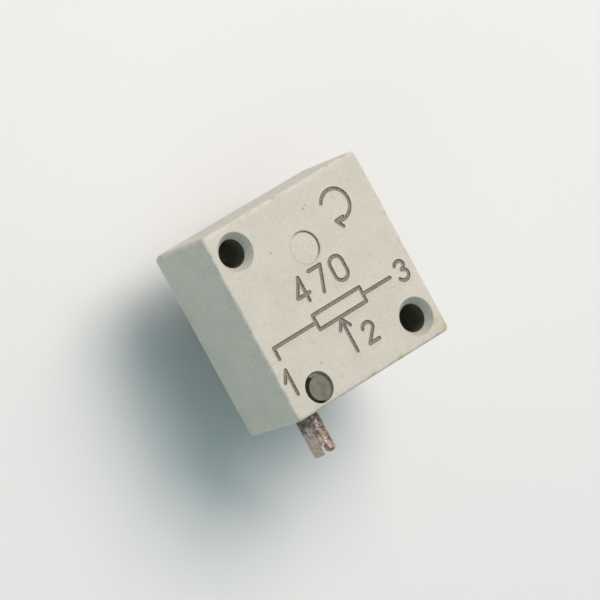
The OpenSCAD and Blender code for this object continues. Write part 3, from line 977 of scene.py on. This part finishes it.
    def _top_points(self) -> list[Point]:
        """Points for the top face: the engraving's own, and a coarse grid between.

        Returns:
            The points.
        """
        fine = self.engraving.mesh_points()
        for reach in self.rim_rings:
            fine += ring(self.mark, self.mark_radius + reach, 72)
        steps = np.arange(-6, 6.01, self.grid_step)
        grid = np.array([(x + self.grid_shift * noise.noise((x, y, 0)),
                          y + self.grid_shift * noise.noise((x, y, 5)))
                         for x in steps for y in steps])
        clear = (self.engraving.distance(grid) > 0.3) & (self._rim_distance(grid) > 0.12)
        return fine + [tuple(p) for p in grid[clear]]

    def _rim_distance(self, points: Array) -> Array:
        """Distance of points on the top from its edges and openings.

        Args:
            points: the points.

        Returns:
            The distances.
        """
        room = self.half - self.edge - np.abs(points).max(axis=1)
        rings = [(self.mark, self.mark_radius), (self.pocket, self.pocket_radius)]
        rings += [(hole, self.mouth_radius + self.lip_width) for hole in self.holes]
        for centre, radius in rings:
            room = np.minimum(room, np.abs(np.hypot(*(points - centre).T) - radius))
        return room

    def _top_sunk(self, points: Array) -> Array:
        """Depth of the top face under its rim.

        Args:
            points: the points.

        Returns:
            The depths.
        """
        wave = np.array([noise.noise((p[0] * 0.5, p[1] * 0.5, 2)) for p in points])
        sink = (self.top_sink + self.top_wave * wave) * smooth(self._rim_distance(points), 0, 0.3)
        return np.maximum(0, sink + self.engraving.sunk(points))

    def _near_pin(self, places: Array) -> Array:
        """Tells which corners lie on the lock pin's hole."""
        return np.hypot(*(places[:, :2] - self.pin_hole).T) < self.pin_hole_radius + 0.02

    def _crescent(self, places: Array, spread: float = 0.0) -> Array:
        """Crescent on the pocket's left, narrow at its upper end, from 0 to 1: where its floor is
        sunk deep, and where its painted shadow lies.

        Args:
            places: corners on the pocket's floor.
            spread: angle in degrees by which the crescent is drawn longer.

        Returns:
            The values.
        """
        inner = self._near_pin(places)
        across, up = (places[:, :2] - self.pin_hole).T
        middle, half = (np.where(inner, *pair) for pair in zip(self.inner_arc, self.outer_arc))
        turned = np.abs(np.degrees(np.arctan2(up, across)) % 360 - middle)
        half = half + spread
        return 1 - smooth(turned, half - self.arc_blur, half + self.arc_blur)

    def _raise_pocket(self) -> None:
        """Raises the pocket's floor to just under the lock pin's end, and sinks its crescent."""
        floor = [v for v in self.work.verts if abs(v.co.z - self.pocket_floor) < NEAR
                 and math.dist(v.co.xy, self.pocket) < self.pocket_radius + NEAR]
        deep = self._crescent(np.array([tuple(v.co) for v in floor]))
        for v, share in zip(floor, deep):
            v.co.z += self.raised * (1 - share) - self.sunken * share

    def _wear(self) -> None:
        """Wears the outer edges and corners unevenly, always inwards."""
        for v in self.work.verts:
            depths = self._depths(v.co)
            first, second, _ = sorted(depths)
            if first > self.wear_band or second > self.wear_reach:
                continue
            closeness = 1 - max(second, 0) / self.wear_reach
            chip = 0.9 * max(0, noise.noise(v.co * 1.9 + Vector((9, 0, 0))) - 0.2)
            chip += 0.5 + 0.6 * noise.noise(v.co * 1.7)
            signed = (v.co.x, v.co.y, v.co.z - self.top / 2)
            inward = Vector([-math.copysign(1, s) if depth < self.wear_reach else 0
                             for s, depth in zip(signed, depths)])
            v.co += inward.normalized() * self.wear * closeness * chip

    def _groove(self) -> Array:
        """Darkness of engraving and tool rings, and painted shade deeper in the countersinks and on
        the ejector mark's rim and wall, from 0 to 1.

        Returns:
            The values.
        """
        flat, height = self.places[:, :2], self.places[:, 2]
        found = np.zeros(len(flat))
        upper = (height > self.top - 0.12) & (self._rim_distance(flat) > NEAR)
        found[upper] = self.engraving.tone(flat[upper])
        share = (self.top - self.lip_drop - height) / (self.sink_depth - self.lip_drop)
        for centre in self.holes:
            cone = np.hypot(*(flat - centre).T) < self.mouth_radius + self.lip_width
            cone &= (share > 0.02) & (share < 1)
            rings = np.clip(-np.sin(share[cone] * self.tool_rings * math.tau), 0, 1)
            # Painted shade: each cone grows darker towards its bottom, besides its tool rings
            found[cone] = self.ring_tone * rings + self.cone_shade_tone * share[cone]
        # Painted shade at the ejector mark: a band outside its rim on the side the shade direction
        # points to, and its wall on the far side
        away = flat - self.mark
        out = np.hypot(*away.T)
        towards = away @ self.shade / np.maximum(out, 1e-6)
        rim = bell(out - self.mark_radius - 0.03, 0.03) * (height > self.top - 0.03)
        found = np.maximum(found, self.rim_shade_tone * rim * smooth(towards, -0.4, 0.4))
        wall = bell(out - self.mark_radius, 0.06) * (height > self.top - 0.2)
        return np.maximum(found, self.wall_shade_tone * wall * smooth(-towards, -0.3, 0.6))

    def _painted_recess_shade(self) -> Array:
        """Painted shade inside the through holes and the lock pin's pocket, from 0 to 1.

        Returns:
            The values.
        """
        flat, height = self.places[:, :2], self.places[:, 2]
        found = np.zeros(len(flat))
        depth = self.top - self.sink_depth + NEAR - height
        for centre in self.holes:
            wall = np.hypot(*(flat - centre).T) < self.hole_radius + 0.006
            found = np.maximum(found, self.bore_shade_tone * wall * smooth(depth, 0.0, 0.03)
                               * smooth(height, 0.0, 0.3))
        # Painted shadow on the pocket's ledge and pin hole: a dark crescent on the left, lighter
        # shade elsewhere
        ledge = np.hypot(*(flat - self.pocket).T) < self.pocket_radius + NEAR
        ledge &= (height > self.top - 4.5) & (height < self.top - 0.2)
        least = self.ledge_shade_tone + self.pin_hole_shade_tone * self._near_pin(self.places)
        deep = self._crescent(self.places, self.shadow_crescent_spread)
        return np.maximum(found, ledge * (least + (1 - least) * deep))

    def _stain(self) -> Array:
        """Yellow-brown handling wear at a few places of the edges, from 0 to 1.

        Returns:
            The values.
        """
        near = [1 - smooth(np.linalg.norm(self.places - centre, axis=1), 0.2 * reach, reach)
                for centre, reach in self.stains]
        return np.max(near, axis=0)

    def _edge_wear_and_highlight(self) -> Array:
        """Nearness to the housing's outer edges, where the surface is worn and carries a painted
        highlight, from 0 to 1.

        Returns:
            The values.
        """
        middle = (0, 0, self.top / 2)
        near = np.array([self.half, self.half, self.top / 2]) - np.abs(self.places - middle)
        return 1 - smooth(np.sort(near, axis=1)[:, 1], 0.05, 0.3)


@dataclass
class WornScrew:
    """Adjusting screw whose outer end is pitted, burred and worn soft at its slot."""

    cut_at: float = -6.1
    overlap: float = 0.01
    voxel: float = 0.028
    softness: float = 0.5
    soft_rounds: int = 2
    pit_depth: float = 0.022
    pits: tuple[Place, ...] = ((4.5, 0.05, 1.6), (11, 0.15, 1))

    def build(self, material: Material) -> Object:
        """Builds the screw.

        Args:
            material: its material.

        Returns:
            The finished object.
        """
        inner = mesh_in_mm("adjusting_screw")
        outer = inner.copy()
        self._halve(inner, 1)
        self._halve(outer, -1)
        self._remesh(outer)
        self._pit(outer)
        joined = bpy.data.meshes.new("screw_parts")
        outer.to_mesh(joined)
        outer.free()
        inner.from_mesh(joined)
        bpy.data.meshes.remove(joined)
        made = finish_piece(inner, "screw_turned", material, 35)
        mount_piece(made, "screw", "adjusting_screw")
        return made

    def _halve(self, work: Work, side: int) -> None:
        """Keeps one side of the cut across the shaft, closed.

        Args:
            work: the mesh.
            side: 1 for the inner side, -1 for the outer.
        """
        place = self.cut_at + self.overlap * (side < 0)
        geometry = work.verts[:] + work.edges[:] + work.faces[:]
        cut = bmesh.ops.bisect_plane(work, geom=geometry, plane_co=(0, place, 0),
                                     plane_no=(0, -side, 0), clear_outer=True)
        rim = [e for e in cut["geom_cut"] if isinstance(e, bmesh.types.BMEdge)]
        bmesh.ops.holes_fill(work, edges=rim)
        bmesh.ops.recalc_face_normals(work, faces=work.faces)

    def _remesh(self, work: Work) -> None:
        """Gives the outer end an even fine mesh with softened edges.

        Args:
            work: the mesh.
        """
        mesh = bpy.data.meshes.new("screw_end")
        work.to_mesh(mesh)
        holder = add_object("screw_end", mesh)
        remesh = holder.modifiers.new("even", "REMESH")
        remesh.mode, remesh.voxel_size = "VOXEL", self.voxel
        soften = holder.modifiers.new("soften", "SMOOTH")
        soften.factor, soften.iterations = self.softness, self.soft_rounds
        done = settle(holder)
        work.clear()
        work.from_mesh(done)
        bpy.data.meshes.remove(done)

    def _pit(self, work: Work) -> None:
        """Pits and scores the outer end, always inwards.

        Args:
            work: the mesh.
        """
        work.normal_update()
        moves = []
        for v in work.verts:
            p = v.co
            pits = sum(share * max(0.0, noise.noise(p * scale) - least)
                       for scale, least, share in self.pits)
            drawn = Vector((p.x * 9, p.y * 1.2, p.z * 9)) + Vector((4, 0, 0))
            score = max(0.0, noise.noise(drawn) - 0.1)
            moves.append(-v.normal * self.pit_depth * (pits + score))
        for v, move in zip(work.verts, moves):
            v.co += move


@dataclass
class WoundElement:
    """Close turns of resistance wire on the ring core, made with Geometry Nodes."""

    turns: int = 222
    steps: int = 14
    ring: float = 4.2
    coil: float = 0.453
    wire: float = 0.044
    wire_sides: int = 6
    arc: float = 303.6
    height: float = 1.65

    def build(self, material: Material) -> Object:
        """Builds the winding.

        Args:
            material: its material.

        Returns:
            The finished object.
        """
        tree, inputs = self._tree(material)
        holder = add_object("winding_base", bpy.data.meshes.new("winding_base"))
        modifier = holder.modifiers.new("winding", "NODES")
        modifier.node_group = tree
        for name, value in self._sizes().items():
            modifier[inputs[name]] = value
        made = add_object("wire_winding", settle(holder))
        mount_piece(made, "housing", "resistance_winding")
        return made

    def _sizes(self) -> dict[str, float]:
        """Values of the tree's inputs by name, in metres and radians."""
        return {"Turns": float(self.turns), "Points": self.turns * self.steps + 1,
                "Ring Radius": self.ring * MM, "Coil Radius": self.coil * MM,
                "Wire Radius": self.wire * MM, "Arc": math.radians(self.arc),
                "Start": math.radians(90 - self.arc / 2), "Height": self.height * MM}

    def _tree(self, material: Material) -> tuple[bpy.types.NodeTree, dict[str, str]]:
        """Builds the node tree that winds the wire.

        Args:
            material: the wire's material.

        Returns:
            The tree and the identifier of each input by name.
        """
        tree = bpy.data.node_groups.new("wind_wire", "GeometryNodeTree")
        kinds = {name: "NodeSocketFloat" for name in self._sizes()} | {"Points": "NodeSocketInt"}
        inputs = {name: tree.interface.new_socket(name, in_out="INPUT", socket_type=kind).identifier
                  for name, kind in kinds.items()}
        tree.interface.new_socket("Geometry", in_out="OUTPUT", socket_type="NodeSocketGeometry")

        grow = Nodes(tree)
        take = grow.node("NodeGroupInput").outputs
        last = grow.rule("SUBTRACT", take["Points"], 1.0)
        share = grow.rule("DIVIDE", grow.node("GeometryNodeInputIndex").outputs[0], last)
        around = grow.rule("ADD", take["Start"], grow.times(take["Arc"], share))
        wound = grow.times(grow.times(take["Turns"], share), math.tau)
        out, lift = (grow.times(take["Coil Radius"], grow.rule(kind, wound))
                     for kind in ("COSINE", "SINE"))
        reach = grow.rule("ADD", take["Ring Radius"], out)
        across, up = (grow.times(reach, grow.rule(kind, around)) for kind in ("COSINE", "SINE"))
        place = grow.node("ShaderNodeCombineXYZ", {
            "X": across, "Y": up, "Z": grow.rule("ADD", take["Height"], lift)})
        line = grow.node("GeometryNodeMeshLine", {"Count": take["Points"]})
        moved = grow.node("GeometryNodeSetPosition", {
            "Geometry": line.outputs["Mesh"], "Position": place.outputs["Vector"]})
        curve = grow.node("GeometryNodeMeshToCurve", {"Mesh": moved.outputs["Geometry"]})
        section = grow.node("GeometryNodeCurvePrimitiveCircle", {
            "Resolution": self.wire_sides, "Radius": take["Wire Radius"]})
        wire = grow.node("GeometryNodeCurveToMesh", {
            "Curve": curve.outputs["Curve"], "Profile Curve": section.outputs["Curve"],
            "Fill Caps": True})
        real = grow.node("GeometryNodeRealizeInstances", {"Geometry": wire.outputs["Mesh"]})
        dressed = grow.node("GeometryNodeSetMaterial", {
            "Geometry": real.outputs["Geometry"], "Material": material})
        grow.node("NodeGroupOutput", {"Geometry": dressed.outputs["Geometry"]})
        return tree, inputs


@dataclass
class CadPieces:
    """CAD nodes whose shape is right and that only get a finish."""

    finishes: dict[str, Material] = field(default_factory=dict)

    def __post_init__(self) -> None:
        """Makes each finish and names the nodes that wear it."""
        groups: dict[object, Sequence[str]] = {
            Moulding("base_phenolic", (0.075, 0.05, 0.032), (0.045, 0.03, 0.02)): ("base_plate",),
            Moulding("cast_compound", (0.21, 0.155, 0.085), (0.13, 0.095, 0.05), 0.24, 2.4, 0.006):
                ("sealing_compound",),
            Moulding("dull_lock_pin", (0.18, 0.176, 0.144), (0.13, 0.126, 0.103), 0.6, 0.5, 0.006):
                ("lock_pin",),
            Moulding("seal_rubber", (0.02, 0.02, 0.02), (0.012, 0.012, 0.012), 0.75):
                ("seal_ring",),
            Moulding("natural_nylon", (0.74, 0.67, 0.47), (0.66, 0.58, 0.39), 0.42):
                ("worm_wheel",),
            Metal("turned_steel", (0.55, 0.55, 0.54), (0.4, 0.4, 0.39), 0.28, Grain.ALONG_Z):
                ("rotor_spindle",),
            Metal("spring_bronze", (0.72, 0.46, 0.26), (0.55, 0.33, 0.17), 0.3, Grain.ALONG_Y):
                ("wiper_spring",),
            Metal("contact_alloy", (0.8, 0.79, 0.76), (0.62, 0.61, 0.58), 0.22):
                ("wiper_contact", "collector_contact"),
            Metal("punched_brass", (0.70, 0.52, 0.24), (0.52, 0.36, 0.15), 0.3):
                ("collector_ring", "start_clamp", "end_clamp"),
            Metal("copper_wire", (0.72, 0.33, 0.18), (0.5, 0.2, 0.1), 0.32):
                ("collector_lead", "element_core", "start_lead", "end_lead"),
            Metal("tinned_wire", (0.62, 0.62, 0.60), (0.42, 0.42, 0.40), 0.34, Grain.ALONG_Z):
                ("pin_1", "pin_2", "pin_3"),
        }
        for finish, nodes in groups.items():
            self.finishes |= dict.fromkeys(nodes, finish.make())

    def dress(self) -> None:
        """Gives every such node its material."""
        for node, material in self.finishes.items():
            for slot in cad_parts[node].material_slots:
                slot.material = material
            LOG.info("%s wears %s", node, material.name)


@dataclass(frozen=True)
class Lamp:
    """Soft square lamp that faces the part: place and side in metres, power in watts."""

    name: str
    place: Place
    side: float
    power: float
    tint: Colour

    def hang(self) -> None:
        """Hangs the lamp."""
        data = bpy.data.lights.new(self.name, "AREA")
        data.size, data.energy, data.color = self.side, self.power, self.tint
        holder = add_object(self.name, data)
        holder.location = self.place
        holder.rotation_euler = Vector(self.place).to_track_quat("Z", "Y").to_euler()


@dataclass
class Studio:
    """Pale floor, soft light and the camera at the photograph's angle."""

    eye: Place = (-155.72, 25.83, 265.53)
    right: Place = (0.7361, -0.4741, 0.4831)
    up: Place = (0.4476, 0.8763, 0.1779)
    back: Place = (-0.5077, 0.0853, 0.8573)
    lens: float = 289.66
    sensor: float = 36.0
    floor_reach: float = 1500
    floor_gap: float = 0.002
    floor_colour: Colour = (0.80, 0.80, 0.79)
    floor_lift: float = 1.02
    sky: Colour = (0.75, 0.985, 1.05)
    sky_strength: float = 0.345
    lamps: tuple[Lamp, ...] = (
        Lamp("key", (0.135, 0.13, 0.3), 0.26, 1.12, (1.12, 0.985, 0.925)),
        Lamp("fill", (-0.26, -0.12, 0.12), 0.2, 0.1, (0.6, 1.0, 1.06)))

    def build(self) -> None:
        """Builds the floor, the world, the lamps and the camera."""
        self._floor()
        self._world()
        for lamp in self.lamps:
            lamp.hang()
        self._camera()
        bpy.context.scene.view_settings.view_transform = "Standard"

    def _floor(self) -> None:
        """Adds the floor that the pins stand on, which can be looked through from below."""
        s = Shader("pale_floor")
        lifted = tuple(c * self.floor_lift for c in self.floor_colour)
        tone = s.patches(Patches(40, 0.3, 0.7, detail=2))
        s.set(Base_Color=s.blend(tone, self.floor_colour, lifted), Roughness=0.7)
        clear = s.node("ShaderNodeMixShader", {
            "Fac": s.node("ShaderNodeNewGeometry").outputs["Backfacing"],
            1: s.surface.outputs["BSDF"], 2: s.node("ShaderNodeBsdfTransparent").outputs["BSDF"]})
        s.feed(s.tree.nodes["Material Output"].inputs["Surface"], clear.outputs["Shader"])
        work = bmesh.new()
        bmesh.ops.create_grid(work, x_segments=8, y_segments=8, size=self.floor_reach)
        level = CAD_BOX[0].z / MM - self.floor_gap
        bmesh.ops.translate(work, vec=(0, 0, level), verts=work.verts)
        finish_piece(work, "floor", s.material)

    def _world(self) -> None:
        """Sets the even light from all round."""
        world = bpy.data.worlds.new("soft_room")
        world.use_nodes = True
        background = world.node_tree.nodes["Background"]
        background.inputs["Color"].default_value = (*self.sky, 1.0)
        background.inputs["Strength"].default_value = self.sky_strength
        bpy.context.scene.world = world

    def _camera(self) -> None:
        """Adds the camera."""
        data = bpy.data.cameras.new("camera")
        data.lens, data.sensor_width = self.lens, self.sensor
        data.clip_start, data.clip_end = 0.02, 20.0
        holder = add_object("camera", data)
        turn = Matrix((self.right, self.up, self.back)).transposed().to_4x4()
        holder.matrix_world = Matrix.Translation(Vector(self.eye) * MM) @ turn
        bpy.context.scene.camera = holder


def main() -> None:
    """Builds the studio and every piece in order."""
    logging.basicConfig(level=logging.INFO, format="%(name)s: %(message)s")
    Studio().build()
    CadPieces().dress()
    MarkedHousing().build(HousingPlastic().make())
    WornScrew().build(WornPlating().make())
    wire = Metal("resistance_wire", (0.42, 0.41, 0.38), (0.28, 0.27, 0.25), 0.3)
    WoundElement().build(wire.make())


if __name__ == "__main__":
    main()
